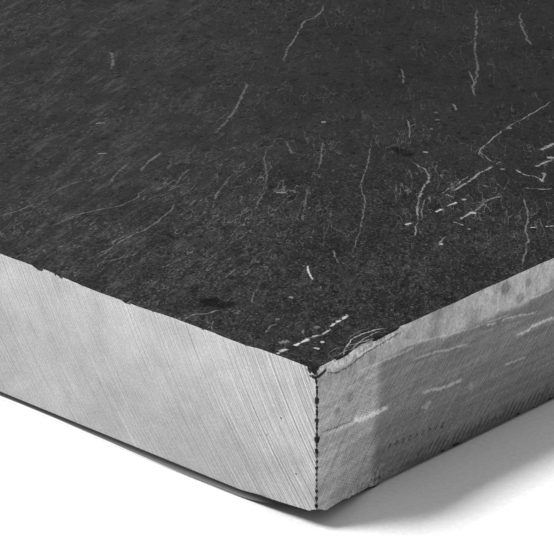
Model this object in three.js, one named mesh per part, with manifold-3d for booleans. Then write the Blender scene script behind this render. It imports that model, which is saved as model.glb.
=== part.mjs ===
// Slate slab: one piece of stone, split along its cleavage above and below, and sawn on its four sides.
//
// Millimetres, +Z up. The origin is on the plane that the slab rests on, under the middle of its outline.
// +X runs along the front sawn side and +Y from the front side to the back one. The "worn corner" is the one
// at +X, -Y, where the right side stands a little proud, the upper arris is bevelled and the tips are broken.

import * as THREE from "three";
import { mergeVertices } from "three/addons/utils/BufferGeometryUtils.js";
import Module from "manifold-3d";

// Driving dimensions
const LENGTH = 400; // along X, measured over the proud worn corner
const WIDTH = 300; // along Y
const THICKNESS = 31; // mean height of the split top above the bearing plane

// Grid that the faces are drawn on
const COLUMNS = 34; // along X
const ROWS = 26; // along Y
const COURSES = 6; // up the sawn sides
const EDGE_CROWDING = 0.12; // how far grid lines are drawn towards the edges, as a share of half a side

// Split top: a slow swell, and low terraces where one lamina of the cleavage ends and the next one shows
const SWELL_HEIGHT = 0.35;
const SWELL_LENGTH = 130;
const TERRACE_DROP = 0.3;
const TERRACE_LENGTH = 75;

// Split underside: it touches the floor at three high points and over a flat middle, and is clear of it
// elsewhere, most along the front
const FEET = [
  [-9, -5],
  [9, -5],
  [0, 7],
]; // columns and rows of the grid, counted from its middle
const FOOT_RADIUS = 0.5;
const MIDDLE_RADIUS = 30;
const LIFT = 0.8;
const FRONT_LIFT = 1; // more than that, along the front
const FRONT_LIFT_RUN = 75;
const LIFT_RUN = 45; // from where it touches to the full lift
const LIFT_WAVE = 0.3;
const LIFT_WAVE_LENGTH = 38;

// Worn corner
const PROUD = 1.4; // how far the right side stands out at the corner, over the rest of that side
const PROUD_RUN = 22; // along the right side
const CORNER_LIFT = 1.7; // how far the underside rises again at the tip
const CORNER_LIFT_RUN = 16;

// Right side: a bevel rubbed along its upper arris, and a lean in below it, down to the lower arris
const BEVEL_IN = 0.8;
const BEVEL_DOWN = THICKNESS / COURSES; // one course of the grid
const BEVEL_WAVE = 0.35; // as a share of the bevel
const BEVEL_WAVE_LENGTH = 31;
const LEAN_IN = 2.4; // at the lower arris

// Spalls: flakes lost from the arrises, as ellipsoids with their middle and their half sizes along X, Y and Z
const SPALLS = [
  { at: [200, -149, 32], size: [6, 5, 2.6] }, // tip of the worn corner
  { at: [199, -136, 32.4], size: [7, 11, 2.6] }, // flake behind it, along the right side
  { at: [199, 138, 32.5], size: [8, 17, 4.5] }, // back right corner
  { at: [96, 151, 32.8], size: [24, 6, 4.2] }, // long flake on the back arris
  { at: [-148, 151.5, 32.4], size: [11, 5, 4] },
  { at: [-201, 92, 32.6], size: [5, 14, 4.4] }, // left arris
  { at: [-200.5, -44, 32.2], size: [4, 9, 3.2] },
  { at: [-200, -149, 32], size: [9, 7, 3.6] }, // front left corner
  { at: [-88, -151, 0.2], size: [16, 4, 3.4] }, // front lower arris
  { at: [200, 40, 0], size: [6, 15, 3.2] }, // right lower arris
  { at: [-200, 148, 0], size: [10, 9, 4] }, // back left lower corner
];
const SPALL_DETAIL = 2; // how often an icosahedron's faces are divided

const wasm = await Module();
wasm.setup();

// A scattered number from -1 to 1 that is fixed for each lattice point and seed.
function latticeValue(i, j, seed) {
  const scattered = Math.sin(i * 127.1 + j * 311.7 + seed * 74.7) * 43758.5453;
  return 2 * (scattered - Math.floor(scattered)) - 1;
}

// 0 below low, 1 above high, and an even curve between.
function ease(low, high, value) {
  return THREE.MathUtils.smoothstep(value, low, high);
}

// Smooth noise from -1 to 1, with lattice points one unit apart.
function noise(x, y, seed) {
  const i = Math.floor(x);
  const j = Math.floor(y);
  const u = ease(0, 1, x - i);
  const v = ease(0, 1, y - j);
  const near = THREE.MathUtils.lerp(latticeValue(i, j, seed), latticeValue(i + 1, j, seed), u);
  const far = THREE.MathUtils.lerp(latticeValue(i, j + 1, seed), latticeValue(i + 1, j + 1, seed), u);
  return THREE.MathUtils.lerp(near, far, v);
}

// Height of the split top above the bearing plane.
function topHeight(x, y) {
  const swell = SWELL_HEIGHT * noise(x / SWELL_LENGTH, y / SWELL_LENGTH, 1);
  const lamina = 2 * noise(x / TERRACE_LENGTH, y / TERRACE_LENGTH, 2);
  const terrace = Math.floor(lamina) + ease(0.4, 0.6, lamina - Math.floor(lamina));
  return THICKNESS + swell + TERRACE_DROP * terrace;
}

// Grid coordinate from -1 to 1, with its lines crowded towards both ends.
function crowd(t) {
  return t + EDGE_CROWDING * Math.sin(Math.PI * t);
}

// Distance from the nearest place where the underside touches the floor.
function fromBearing(x, y) {
  const fromFeet = FEET.map(([column, row]) => {
    const footX = crowd((2 * column) / COLUMNS) * (LENGTH / 2);
    const footY = crowd((2 * row) / ROWS) * (WIDTH / 2);
    return Math.hypot(x - footX, y - footY) - FOOT_RADIUS;
  });
  return Math.max(0, Math.min(...fromFeet, Math.hypot(x, y) - MIDDLE_RADIUS));
}

// Height of the underside above the bearing plane, never under it.
function undersideHeight(x, y) {
  const wave = LIFT_WAVE * noise(x / LIFT_WAVE_LENGTH, y / LIFT_WAVE_LENGTH, 3);
  const lift = Math.sqrt(Math.min(1, fromBearing(x, y) / LIFT_RUN)) * (LIFT + wave);
  const front = FRONT_LIFT * ease(WIDTH / 2 - FRONT_LIFT_RUN, WIDTH / 2, -y);
  const fromTip = Math.hypot(LENGTH / 2 - x, y + WIDTH / 2);
  return lift + front + CORNER_LIFT * (1 - ease(0, CORNER_LIFT_RUN, fromTip));
}

// How far in from its proudest line the right side is, at this y and this share of the height.
function rightSideInset(y, share) {
  const away = ease(0, PROUD_RUN, y + WIDTH / 2);
  const bevel = BEVEL_IN * (1 + BEVEL_WAVE * noise(y / BEVEL_WAVE_LENGTH, 0, 4));
  return away * (PROUD + LEAN_IN * (1 - share)) + bevel * ease(1 - BEVEL_DOWN / THICKNESS, 1, share);
}

// The slab before it lost any flakes: a gridded block whose faces are moved to the split and sawn surfaces.
function sawnBlock() {
  const block = new THREE.BoxGeometry(2, 2, 1, COLUMNS, ROWS, COURSES);
  const points = block.getAttribute("position");
  for (let i = 0; i < points.count; i++) {
    const x = crowd(points.getX(i)) * (LENGTH / 2);
    const y = crowd(points.getY(i)) * (WIDTH / 2);
    const share = points.getZ(i) + 0.5;
    const onRight = points.getX(i) > 1 - 1e-6;
    const z = THREE.MathUtils.lerp(undersideHeight(x, y), topHeight(x, y), share);
    points.setXYZ(i, onRight ? x - rightSideInset(y, share) : x, y, z);
  }
  return block;
}

// The ellipsoid that a lost flake leaves the hollow of.
function spall({ at, size }) {
  return new THREE.IcosahedronGeometry(1, SPALL_DETAIL).scale(...size).translate(...at);
}

// A closed three.js geometry as a manifold-3d solid, and back.
function toSolid(geometry) {
  const bare = new THREE.BufferGeometry();
  bare.setAttribute("position", geometry.getAttribute("position"));
  if (geometry.index) bare.setIndex(geometry.index);
  const merged = mergeVertices(bare, 1e-4);
  return new wasm.Manifold(
    new wasm.Mesh({
      numProp: 3,
      vertProperties: merged.getAttribute("position").array,
      triVerts: new Uint32Array(merged.index.array),
    }),
  );
}

function toGeometry(solid) {
  const mesh = solid.getMesh();
  const geometry = new THREE.BufferGeometry();
  geometry.setAttribute("position", new THREE.BufferAttribute(mesh.vertProperties, 3));
  geometry.setIndex(new THREE.BufferAttribute(mesh.triVerts, 1));
  geometry.computeVertexNormals();
  return geometry;
}

const stone = new THREE.MeshStandardMaterial({ color: 0x3c3c3d, roughness: 0.8, metalness: 0 });

function slateSlab() {
  const flakes = SPALLS.map((flake) => toSolid(spall(flake)));
  const worn = flakes.reduce((solid, flake) => solid.subtract(flake), toSolid(sawnBlock()));
  const slab = new THREE.Mesh(toGeometry(worn), stone);
  slab.name = "slate_slab";
  return slab;
}

const object = new THREE.Group();
object.add(slateSlab());

export default object;
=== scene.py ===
import math

import bmesh
import bpy
import numpy as np
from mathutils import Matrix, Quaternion, Vector


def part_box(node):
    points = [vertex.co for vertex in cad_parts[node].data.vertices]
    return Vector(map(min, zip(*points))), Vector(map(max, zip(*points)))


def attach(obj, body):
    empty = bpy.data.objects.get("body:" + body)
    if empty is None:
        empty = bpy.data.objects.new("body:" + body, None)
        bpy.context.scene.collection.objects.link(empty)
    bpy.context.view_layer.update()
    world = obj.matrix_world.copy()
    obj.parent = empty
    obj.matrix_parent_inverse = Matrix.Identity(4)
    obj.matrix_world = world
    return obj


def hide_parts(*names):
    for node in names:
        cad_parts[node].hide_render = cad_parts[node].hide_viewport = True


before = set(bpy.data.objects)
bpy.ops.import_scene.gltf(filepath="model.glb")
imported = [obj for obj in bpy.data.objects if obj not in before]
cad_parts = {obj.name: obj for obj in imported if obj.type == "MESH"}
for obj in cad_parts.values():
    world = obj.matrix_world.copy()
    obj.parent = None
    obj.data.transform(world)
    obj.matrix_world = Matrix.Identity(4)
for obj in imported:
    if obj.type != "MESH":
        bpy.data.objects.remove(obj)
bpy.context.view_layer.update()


# ---------------------------------------------------------------------------------------------------------
# The view: a long lens looks down over the worn corner of the slab, which stands at its right front.
# Sizes here are in millimetres, like those of the slab itself, and MM turns them into scene units.

MM = 0.001
low, high = (np.array(corner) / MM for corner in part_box("slate_slab"))
PLATE_RIGHT = high[0] - 2.2  # the right side's upper arris, behind the proud tip of the corner
UPPER_ARRIS = 31.0  # height of the split top along the front and right sides
SIDE_HEIGHT = 29.2  # from the lower arris to the upper one

bearing, pitch = math.radians(42.74), math.radians(22.45)
level_share = math.cos(pitch)
towards_camera = Vector(
    (math.sin(bearing) * level_share, -math.cos(bearing) * level_share, math.sin(pitch))
)
to_the_right = Vector((math.cos(bearing), math.sin(bearing), 0))
upwards = towards_camera.cross(to_the_right)
aimed_at = Vector((PLATE_RIGHT, low[1], UPPER_ARRIS)) - to_the_right * 5.34 + upwards * 15.48

lens = bpy.data.cameras.new("view_of_corner")
lens.sensor_width = 36
lens.lens = 226.85
lens.clip_end = 20
camera = bpy.data.objects.new("view_of_corner", lens)
camera.location = (aimed_at + towards_camera * 20.74 * SIDE_HEIGHT) * MM
camera.rotation_euler = towards_camera.to_track_quat("Z", "Y").to_euler()
bpy.context.collection.objects.link(camera)
bpy.context.scene.camera = camera
bpy.context.scene.view_settings.view_transform = "Standard"


# ---------------------------------------------------------------------------------------------------------
# The studio: a white sheet as the floor, one large soft lamp high up at the front left, and even fill
# from all round.

def add(tree, kind, inputs=None, out=0, **settings):
    """Adds a node, sets or links its inputs by name or number, and gives back one output, or all."""
    made = tree.nodes.new(kind)
    for name, value in settings.items():
        setattr(made, name, value)
    for name, value in (inputs or {}).items():
        if isinstance(value, bpy.types.NodeSocket):
            tree.links.new(value, made.inputs[name])
        else:
            made.inputs[name].default_value = value
    return made.outputs if out is None else made.outputs[out]


def new_material(name):
    material = bpy.data.materials.new(name)
    material.use_nodes = True
    material.node_tree.nodes.remove(material.node_tree.nodes["Principled BSDF"])
    return material, material.node_tree


def finish_material(tree, inputs):
    """Adds the surface shader with these inputs and links it to the material's output."""
    shader = add(tree, "ShaderNodeBsdfPrincipled", inputs, out="BSDF")
    tree.links.new(shader, tree.nodes["Material Output"].inputs["Surface"])


FLOOR_REACH = 4000
floor_mesh = bpy.data.meshes.new("floor")
floor_mesh.from_pydata(
    [(x * FLOOR_REACH * MM, y * FLOOR_REACH * MM, 0) for x, y in ((-1, -1), (1, -1), (1, 1), (-1, 1))],
    [],
    [(0, 1, 2, 3)],
)
floor = bpy.data.objects.new("floor", floor_mesh)
bpy.context.collection.objects.link(floor)
white_sheet, tree = new_material("white_sheet")
place = add(tree, "ShaderNodeTexCoord", out="Object")
inputs = {"Vector": place, "Scale": 1.1 / MM, "Detail": 3, "Roughness": 0.75}
fibres = add(tree, "ShaderNodeTexNoise", inputs)
inputs = {"Value": fibres, "From Min": 0.3, "From Max": 0.7, "To Min": 0.83, "To Max": 0.97}
paper = add(tree, "ShaderNodeMapRange", inputs)
finish_material(tree, {"Base Color": paper, "Roughness": 0.9, "Specular IOR Level": 0.1})
floor_mesh.materials.append(white_sheet)

towards_lamp = Vector((-0.51, -0.587, 1)).normalized()
LAMP_DISTANCE = 3000
lamp = bpy.data.lights.new("soft_lamp", "AREA")
lamp.shape = "RECTANGLE"
lamp.size = 1150 * MM
lamp.size_y = 650 * MM
lamp.energy = 100
lamp_stand = bpy.data.objects.new("soft_lamp", lamp)
lamp_stand.location = (aimed_at + towards_lamp * LAMP_DISTANCE) * MM
turned = Quaternion((0, 0, 1), math.radians(-36))
lamp_stand.rotation_euler = (towards_lamp.to_track_quat("Z", "Y") @ turned).to_euler()
bpy.context.collection.objects.link(lamp_stand)

fill = bpy.data.worlds.new("even_fill")
fill.use_nodes = True
fill.node_tree.nodes["Background"].inputs["Color"].default_value = (1, 1, 1, 1)
fill.node_tree.nodes["Background"].inputs["Strength"].default_value = 0.375
bpy.context.scene.world = fill


# ---------------------------------------------------------------------------------------------------------
# The slab: one piece of slate. It was split along its cleavage above and below, so those faces swell and
# step a little, and its four sides were cut with a saw. Its arrises are chipped and one corner is worn.
# A grid of points on each face is moved to the real surface, finest around the worn corner.

RIGHT, FRONT, BACK, LEFT = high[0], low[1], high[1], low[0]
THICKNESS = 31.0
FEET = ((-129.8, -74.5), (129.8, -74.5), (0.0, 98.6))  # high points of the underside, which touch the floor
BEVEL_SHARE = 1 / 6  # of the height, down from the upper arris of the right side
LIP_IN, LIP_SHARE = 0.3, 0.055  # the lowest lamina, set in under the front side; its share of the height
SMALLEST = 1e-6  # lengths below this count as none


def scattered(i, j, seed):
    """A fixed number from -1 to 1 for each lattice point and seed."""
    value = np.sin(i * 127.1 + j * 311.7 + seed * 74.7) * 43758.5453
    return 2 * (value - np.floor(value)) - 1


def ease(start, end, value):
    """0 before start, 1 after end, and an even curve between."""
    t = np.clip((value - start) / (end - start), 0, 1)
    return t * t * (3 - 2 * t)


def noise(x, y, seed):
    """Smooth noise from -1 to 1, with lattice points one unit apart."""
    i, j = np.floor(x), np.floor(y)
    u, v = ease(0, 1, x - i), ease(0, 1, y - j)
    near = scattered(i, j, seed) * (1 - u) + scattered(i + 1, j, seed) * u
    far = scattered(i, j + 1, seed) * (1 - u) + scattered(i + 1, j + 1, seed) * u
    return near * (1 - v) + far * v


def rough(x, y, seed, octaves):
    """Noise with finer and weaker layers added to it, each turned against the last."""
    total = np.zeros_like(x)
    for octave in range(octaves):
        total += noise(x, y, seed + octave) / 1.9**octave
        x, y = 1.26 * x - 1.59 * y, 1.59 * x + 1.26 * y
    return total


def stepped(value, sharpness):
    """Turns a smooth height into steps one unit high, with slopes that take up this share of each."""
    level = np.floor(value)
    return level + ease(0.5 - sharpness / 2, 0.5 + sharpness / 2, value - level)


def top_height(x, y):
    """The split top: a slow swell, terraces where a lamina ends, and the fine relief of the cleavage."""
    swell = 0.35 * noise(x / 130, y / 130, 1)
    terrace = 0.3 * stepped(2 * noise(x / 75, y / 75, 2), 0.2)
    along, across = y * 0.9 - x * 0.45, x * 0.9 + y * 0.45
    ridges = 0.05 * rough(across / 7, along / 19, 11, 3)
    thin_steps = 0.06 * stepped(3 * rough(across / 26, along / 44, 21, 3), 0.16)
    grit = 0.02 * rough(x / 1.6, y / 2.2, 31, 2)
    return THICKNESS + swell + terrace + ridges + thin_steps + grit


def underside_height(x, y):
    """The split underside: it touches the floor at its feet and middle, and rises most at the worn tip."""
    from_feet = np.min([np.hypot(x - foot_x, y - foot_y) for foot_x, foot_y in FEET], axis=0)
    clear = np.clip(np.minimum(from_feet - 0.5, np.hypot(x, y) - 30), 0, 45) / 45
    lift = np.sqrt(clear) * (0.7 + 0.25 * noise(x / 38, y / 38, 3) + 0.1 * rough(x / 5, y / 5, 41, 3))
    from_front, from_tip = y - FRONT, np.hypot(RIGHT - x, y - FRONT)
    front = 0.15 * (1 - ease(0, 12, from_front)) * ease(140, 185, x)
    tip = 2.6 * (1 - ease(2, 20, from_tip)) + 1.2 * (1 - ease(0, 3, from_tip))
    by_corner = ease(5, 9, from_front) * (1 - ease(18, 28, from_front)) * ease(RIGHT - 12, RIGHT - 4, x)
    crumbling = 0.4 * by_corner * rough(x / 1.4, y / 1.4, 61, 2)
    return np.maximum(0, lift * ease(-3, 14, from_front) + front + tip + crumbling)


def front_side_inset(x, share):
    """How far in the front side is: only its lowest lamina, which ends before the worn tip."""
    uneven = LIP_IN * (1 + 0.4 * noise(x / 7, 0 * x, 5)) * (1 - ease(184, 192, x))
    return uneven * (1 - ease(0.8 * LIP_SHARE, LIP_SHARE, share))


def right_side_inset(y, share):
    """How far in from its proudest line the right side is, at this y and this share of the height."""
    from_front = y - FRONT
    away = ease(0, 22, from_front)
    lean = 1.4 + 2.4 * (1 - share)
    bevel = 0.8 * (1 + 0.35 * noise(y / 31, 0 * y, 4) + 0.12 * rough(y / 5, share * 5, 46, 2))
    lowest_near_tip = (1 - ease(12, 26, from_front)) * (1 - ease(0.05, 0.13, share))
    crumbs = away * lowest_near_tip * rough(y / 1.5, share * 20, 62, 2)
    return away * lean + bevel * ease(1 - BEVEL_SHARE, 1, share) - 0.9 * np.maximum(0, crumbs)


def graded(*stops):
    """Positions from the first stop to the last. Each stop is a position and the spacing wanted there."""
    positions, spacings = zip(*stops)
    places = [positions[0]]
    while places[-1] < positions[-1]:
        places.append(places[-1] + np.interp(places[-1], positions, spacings))
    reach = (np.array(places) - positions[0]) / (places[-1] - positions[0])
    return positions[0] + reach * (positions[-1] - positions[0])


columns = graded(
    (LEFT, 0.8), (LEFT + 6, 2.6), (0, 3.2), (105, 1.7), (140, 0.9), (194, 0.7), (198, 0.35), (RIGHT, 0.25)
)
rows = graded(
    (FRONT, 0.25), (-148, 0.35), (-145, 0.5), (-126, 0.5), (-120, 0.8), (-85, 0.95), (-40, 1.7), (60, 2.8),
    (BACK - 6, 2.6), (BACK, 0.8),
)
courses = graded((LIP_SHARE, 0.014), (0.14, 0.018), (0.17, 0.025), (0.75, 0.027), (0.95, 0.014), (1, 0.01))
courses = np.concatenate([np.array([0, 0.5, 0.8]) * LIP_SHARE, courses])
nx, ny, nz = len(columns), len(rows), len(courses)

# The top is one grid. Each course below it is a ring of points under the top's outline.
top_x, top_y = np.meshgrid(columns, rows, indexing="ij")
top_ids = np.arange(nx * ny).reshape(nx, ny)
outline = np.concatenate([top_ids[:-1, 0], top_ids[-1, :-1], top_ids[:0:-1, -1], top_ids[0, :0:-1]])
turns = np.cumsum([0, nx - 1, ny - 1, nx - 1, ny - 1])  # where the outline turns a corner
side_share = np.repeat(courses[-2::-1], len(outline))
side_ids = np.arange(nx * ny, nx * ny + len(side_share)).reshape(nz - 1, len(outline))
side_ids = np.vstack([outline, side_ids])
side_ids = np.hstack([side_ids, side_ids[:, :1]])

# The underside is a coarser grid, set in a little from the lowest ring.
under_columns = np.concatenate([columns[2:3], columns[4:-4:5], columns[-3:-2]])
under_rows = np.concatenate([rows[2:3], rows[4:-4:5], rows[-3:-2]])
under_x, under_y = np.meshgrid(under_columns, under_rows, indexing="ij")
under_ids = side_ids.max() + 1 + np.arange(under_x.size).reshape(under_x.shape)

plan_x = np.concatenate([top_x.ravel(), np.tile(top_x.ravel()[outline], nz - 1), under_x.ravel()])
plan_y = np.concatenate([top_y.ravel(), np.tile(top_y.ravel()[outline], nz - 1), under_y.ravel()])
share = np.concatenate([np.ones(nx * ny), side_share, np.zeros(under_x.size)])
foot, crown = underside_height(plan_x, plan_y), top_height(plan_x, plan_y)
points = np.stack([plan_x, plan_y, foot + (crown - foot) * share], axis=1)
on_right = plan_x > RIGHT - SMALLEST
points[:, 0] -= np.where(on_right, right_side_inset(plan_y, share), 0)
in_front = FRONT + np.where(plan_y < FRONT + SMALLEST, front_side_inset(plan_x, share), 0)
points[:, 1] = np.maximum(points[:, 1], in_front)
broken = np.zeros(len(points))  # how far each point was moved by the loss of a flake


def lose_flake(centre, size, roughness=0.2):
    """Pushes the points inside an ellipsoid out to its rough skin, away from its centre."""
    centre, size = np.array(centre), np.array(size)
    near = np.flatnonzero(np.all(np.abs(points - centre) < size * 1.3, axis=1))
    offset = (points[near] - centre) / size
    reach = np.linalg.norm(offset, axis=1) + 1e-9  # never zero
    across, up = points[near, 0] + points[near, 1], points[near, 2] + 0.4 * points[near, 0]
    skin = 1 + roughness * rough(across / 1.7, up / 1.3, 51, 2)
    inside = reach < skin
    moved = np.where(inside, skin / reach - 1, 0)[:, None] * offset * size
    points[near] += moved
    broken[near] = np.maximum(broken[near], np.linalg.norm(moved, axis=1))


# The worn corner and the flakes that can be seen from there, each by its middle and its half sizes.
lose_flake((RIGHT + 0.2, FRONT - 0.2, 31.4), (2.6, 2.2, 1.7))  # tip
lose_flake((RIGHT - 0.3, FRONT + 17, 32.1), (3.3, 6.2, 1.6), 0.1)  # scar behind the tip
lose_flake((RIGHT + 0.4, FRONT + 6, 31.6), (1.3, 7, 1.5))
lose_flake((RIGHT + 0.1, FRONT + 20, 31.5), (1.6, 9, 1.2))
lose_flake((167, FRONT + 9, 32.2), (5, 4.5, 1.45), 0.1)  # shallow shell on the top
lose_flake((140.5, -57.5, 31.7), (1.8, 1.4, 1.2))
FRONT_ARRIS = [  # where along the front side's upper arris a chip is gone, and its size
    (130.1, 1.0), (134.7, 0.6), (136.2, 0.9), (141.8, 0.7), (153, 1.1), (160, 0.6), (172.5, 0.5), (183, 0.45),
]
for x, size in FRONT_ARRIS:
    lose_flake((x, FRONT - 0.2, 31.2), (size * 1.4, 0.8 * size, size))
CORNER_BEADS = [  # height up the vertical arris, and size
    (28.6, 0.6), (27.5, 0.5), (26.7, 0.35), (24.9, 0.75), (23.8, 0.4), (22.4, 0.4), (21.2, 0.7), (19.8, 0.4),
    (17.6, 0.85), (16.5, 0.35), (15.2, 0.6), (13.4, 0.35), (12.1, 0.5), (10.9, 0.4), (9.7, 0.4), (8.6, 0.3),
    (7.5, 0.5), (6.1, 0.5), (4.7, 0.55),
]
for z, size in CORNER_BEADS:
    lose_flake((RIGHT + 0.15, FRONT - 0.15, z), (size, size, 0.8 * size))

# Larger flakes on the other arrises.
FLAKES = [
    ((RIGHT - 1, 138, 32.5), (8, 17, 4.5)),
    ((96, BACK + 1, 32.8), (24, 6, 4.2)),
    ((-148, BACK + 1.5, 32.4), (11, 5, 4)),
    ((LEFT - 1, 92, 32.6), (5, 14, 4.4)),
    ((LEFT - 0.5, -44, 32.2), (4, 9, 3.2)),
    ((LEFT, FRONT + 1, 32), (9, 7, 3.6)),
    ((-88, FRONT - 1, 0.2), (16, 4, 3.4)),
    ((RIGHT, 40, 0), (6, 15, 3.2)),
    ((LEFT, 148, 0), (10, 9, 4)),
]
for centre, size in FLAKES:
    lose_flake(centre, size)

# Small chips all along the arrises, larger and closer together away from the worn corner.
chance = np.random.default_rng(7)
ARRISES = [  # two ends, chips along it, and their largest size
    ((LEFT, FRONT, 31.2), (120, FRONT, 31.2), 26, 1.7),
    ((RIGHT - 2.2, -70, 31.2), (RIGHT - 2.2, BACK, 31.2), 20, 1.9),
    ((LEFT, BACK, 31.2), (RIGHT, BACK, 31.2), 42, 2.2),
    ((LEFT, FRONT, 31.2), (LEFT, BACK, 31.2), 30, 2.2),
    ((LEFT, FRONT, 1.9), (108, FRONT, 1.9), 30, 1.8),
    ((114, FRONT, 1.9), (RIGHT - 14, FRONT, 1.9), 16, 0.13),
    ((RIGHT - 3.5, FRONT + 12, 0.6), (RIGHT - 3.5, -70, 0.6), 30, 0.5),
    ((RIGHT - 3.5, -70, 0.6), (RIGHT - 3.5, BACK, 0.6), 26, 2.0),
    ((LEFT, BACK, 0.6), (RIGHT, BACK, 0.6), 36, 2.2),
    ((LEFT, FRONT, 0.6), (LEFT, BACK, 0.6), 28, 2.2),
    ((LEFT, FRONT, 2), (LEFT, FRONT, 30), 7, 1.8),
    ((LEFT, BACK, 2), (LEFT, BACK, 30), 7, 2.0),
    ((RIGHT - 2, BACK, 2), (RIGHT - 2, BACK, 30), 7, 2.0),
]
for start, end, count, largest in ARRISES:
    run = np.array(end) - np.array(start)
    slender = np.where(np.abs(run) > 1, 2.2, 1.0)
    for place, size in zip(chance.random(count), chance.random(count)):
        lose_flake(start + run * place, slender * largest * (0.25 + 0.75 * size**2))
# A flake is only ever lost: no point may end up outside the faces as they were split and sawn.
points[:, 0] = np.clip(points[:, 0], LEFT, RIGHT - right_side_inset(plan_y, share))
points[:, 1] = np.clip(points[:, 1], in_front, BACK)
points[:, 2] = np.clip(points[:, 2], foot, crown)


def skin(ids):
    """Four-sided faces over a grid of points, given by their numbers."""
    corners = [ids[:-1, :-1], ids[1:, :-1], ids[1:, 1:], ids[:-1, 1:]]
    return np.stack(corners, axis=-1).reshape(-1, 4).tolist()


def strip(fine, coarse, axis):
    """Triangles between two rows of points side by side along an axis, one finer than the other."""
    plan = (plan_x, plan_y)[axis]
    made, i, j = [], 0, 0
    while i < len(fine) - 1 or j < len(coarse) - 1:
        coarse_is_done = j == len(coarse) - 1
        if i < len(fine) - 1 and (coarse_is_done or plan[fine[i + 1]] <= plan[coarse[j + 1]]):
            made.append((fine[i], fine[i + 1], coarse[j]))
            i += 1
        else:
            made.append((fine[i], coarse[j + 1], coarse[j]))
            j += 1
    return made


top_faces = skin(top_ids)
side_faces = skin(side_ids)
lowest = side_ids[-1]
under_faces = skin(under_ids[:, ::-1])
under_faces += strip(lowest[turns[0] : turns[1] + 1], under_ids[:, 0], 0)
under_faces += strip(lowest[turns[1] : turns[2] + 1], under_ids[-1, :], 1)
under_faces += strip(lowest[turns[2] : turns[3] + 1][::-1], under_ids[:, -1], 0)
under_faces += strip(lowest[turns[3] : turns[4] + 1][::-1], under_ids[0, :], 1)

mesh = bpy.data.meshes.new("slate_slab_stone")
mesh.from_pydata((points * MM).tolist(), [], top_faces + side_faces + under_faces)
SPLIT, SAWN_FRONT, SAWN_RIGHT = range(3)
round_the_sides = np.repeat([SAWN_FRONT, SAWN_RIGHT, SAWN_FRONT, SAWN_RIGHT], np.diff(turns))
on_sides = np.tile(round_the_sides, nz - 1)
finishes = np.concatenate([np.full(len(top_faces), SPLIT), on_sides, np.full(len(under_faces), SPLIT)])
mesh.polygons.foreach_set("material_index", finishes)
mesh.polygons.foreach_set("use_smooth", np.ones(len(mesh.polygons), bool))
mesh.attributes.new("broken", "FLOAT", "POINT").data.foreach_set("value", broken)
shell = bmesh.new()
shell.from_mesh(mesh)
bmesh.ops.recalc_face_normals(shell, faces=shell.faces)
shell.to_mesh(mesh)
shell.free()
mesh.set_sharp_from_angle(angle=math.radians(38))
slab = bpy.data.objects.new("slate_slab_stone", mesh)
bpy.context.collection.objects.link(slab)
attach(slab, "root")
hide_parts("slate_slab")


# The stone's finishes. Inside it is dark; a saw or a knock leaves pale dust in it. The split faces keep
# the dark colour, with fine pale threads and scratches; the sawn sides are pale, ruled by the saw.

def calc(tree, operation, a, b=0.0, c=0.0, clamp=False):
    return add(tree, "ShaderNodeMath", {0: a, 1: b, 2: c}, operation=operation, use_clamp=clamp)


def times(tree, *factors):
    """The product of any number of values."""
    product = factors[0]
    for factor in factors[1:]:
        product = calc(tree, "MULTIPLY", product, factor)
    return product


def vector(tree, operation, a, b, out=0):
    return add(tree, "ShaderNodeVectorMath", {0: a, 1: b}, out=out, operation=operation)


def fade(tree, value, start, end, low_value=0.0, high_value=1.0):
    """low_value before start, high_value after end, and an even curve between."""
    inputs = {"Value": value, "From Min": start, "From Max": end, "To Min": low_value, "To Max": high_value}
    return add(tree, "ShaderNodeMapRange", inputs, interpolation_type="SMOOTHSTEP")


def blend(tree, factor, a, b):
    return add(tree, "ShaderNodeMix", {"Factor": factor, "A": a, "B": b})


def cloud(tree, position, scale, detail=2.0, roughness=0.5, stretch=None, turn=0.0):
    """Noise from 0 to 1 with this many patches per millimetre, stretched along axes turned about Z."""
    if stretch:
        placing = {"Vector": position, "Rotation": (0, 0, turn), "Scale": (*stretch, 1)}
        position = add(tree, "ShaderNodeMapping", placing, vector_type="TEXTURE")
    inputs = {"Vector": position, "Scale": scale, "Detail": detail, "Roughness": roughness}
    return add(tree, "ShaderNodeTexNoise", inputs)


def contour(tree, noise_value, width):
    """1 where the noise passes its middle value: a fine curl or thread."""
    return fade(tree, calc(tree, "ABSOLUTE", calc(tree, "SUBTRACT", noise_value, 0.5)), 0.0, width, 1, 0)


def new_group(name, inputs, outputs):
    """A shader node group with these sockets, and its own input and output nodes."""
    group = bpy.data.node_groups.new(name, "ShaderNodeTree")
    for direction, sockets in (("INPUT", inputs), ("OUTPUT", outputs)):
        for socket, kind in sockets.items():
            group.interface.new_socket(socket, in_out=direction, socket_type=kind)
    return group, group.nodes.new("NodeGroupInput").outputs, group.nodes.new("NodeGroupOutput").inputs


FLOAT, VECTOR = "NodeSocketFloat", "NodeSocketVector"

# Where a point lies beside a straight run: how far along, as a share of its length, and how far off.
beside, given, result = new_group(
    "beside_a_run",
    {"Position": VECTOR, "From": VECTOR, "Direction": VECTOR, "Length": FLOAT},
    {"Along": FLOAT, "Across": FLOAT},
)
offset = vector(beside, "SUBTRACT", given["Position"], given["From"])
aside = vector(beside, "CROSS_PRODUCT", (0, 0, 1), given["Direction"])
reach = vector(beside, "DOT_PRODUCT", offset, given["Direction"], out="Value")
across = vector(beside, "DOT_PRODUCT", offset, aside, out="Value")
beside.links.new(calc(beside, "DIVIDE", reach, given["Length"]), result["Along"])
beside.links.new(across, result["Across"])

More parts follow.
